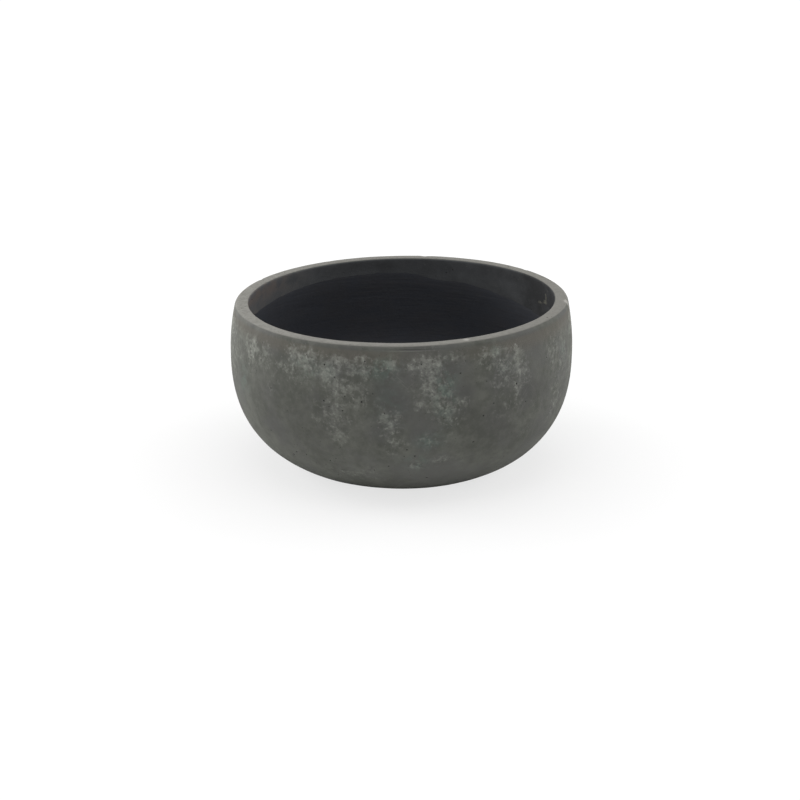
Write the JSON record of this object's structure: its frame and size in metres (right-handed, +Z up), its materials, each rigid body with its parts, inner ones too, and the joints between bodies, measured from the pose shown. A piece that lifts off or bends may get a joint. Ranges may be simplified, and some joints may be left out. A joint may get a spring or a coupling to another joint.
{
  "type": "bowl planter",
  "caption": "Round concrete bowl planter with a full belly, a drawn-in rounded rim, a flat foot, a black waterproof inner coating and felt pads under the base.",
  "frame": {"origin": "on the surface that the planter stands on, under the centre of its foot", "axes": "+Z up along the bowl's axis, -Y towards the viewer of the picture, +X to the viewer's right"},
  "size_m": [0.31, 0.31, 0.1532],
  "materials": {
    "concrete": "matte",
    "waterproof_film": "satin",
    "felt": "matte"
  },
  "bodies": {
    "root": {"concrete_bowl": "concrete", "waterproof_coating": "waterproof_film", "base_pad_1": "felt", "base_pad_2": "felt", "base_pad_3": "felt", "base_pad_4": "felt"}
  },
  "joints": []
}
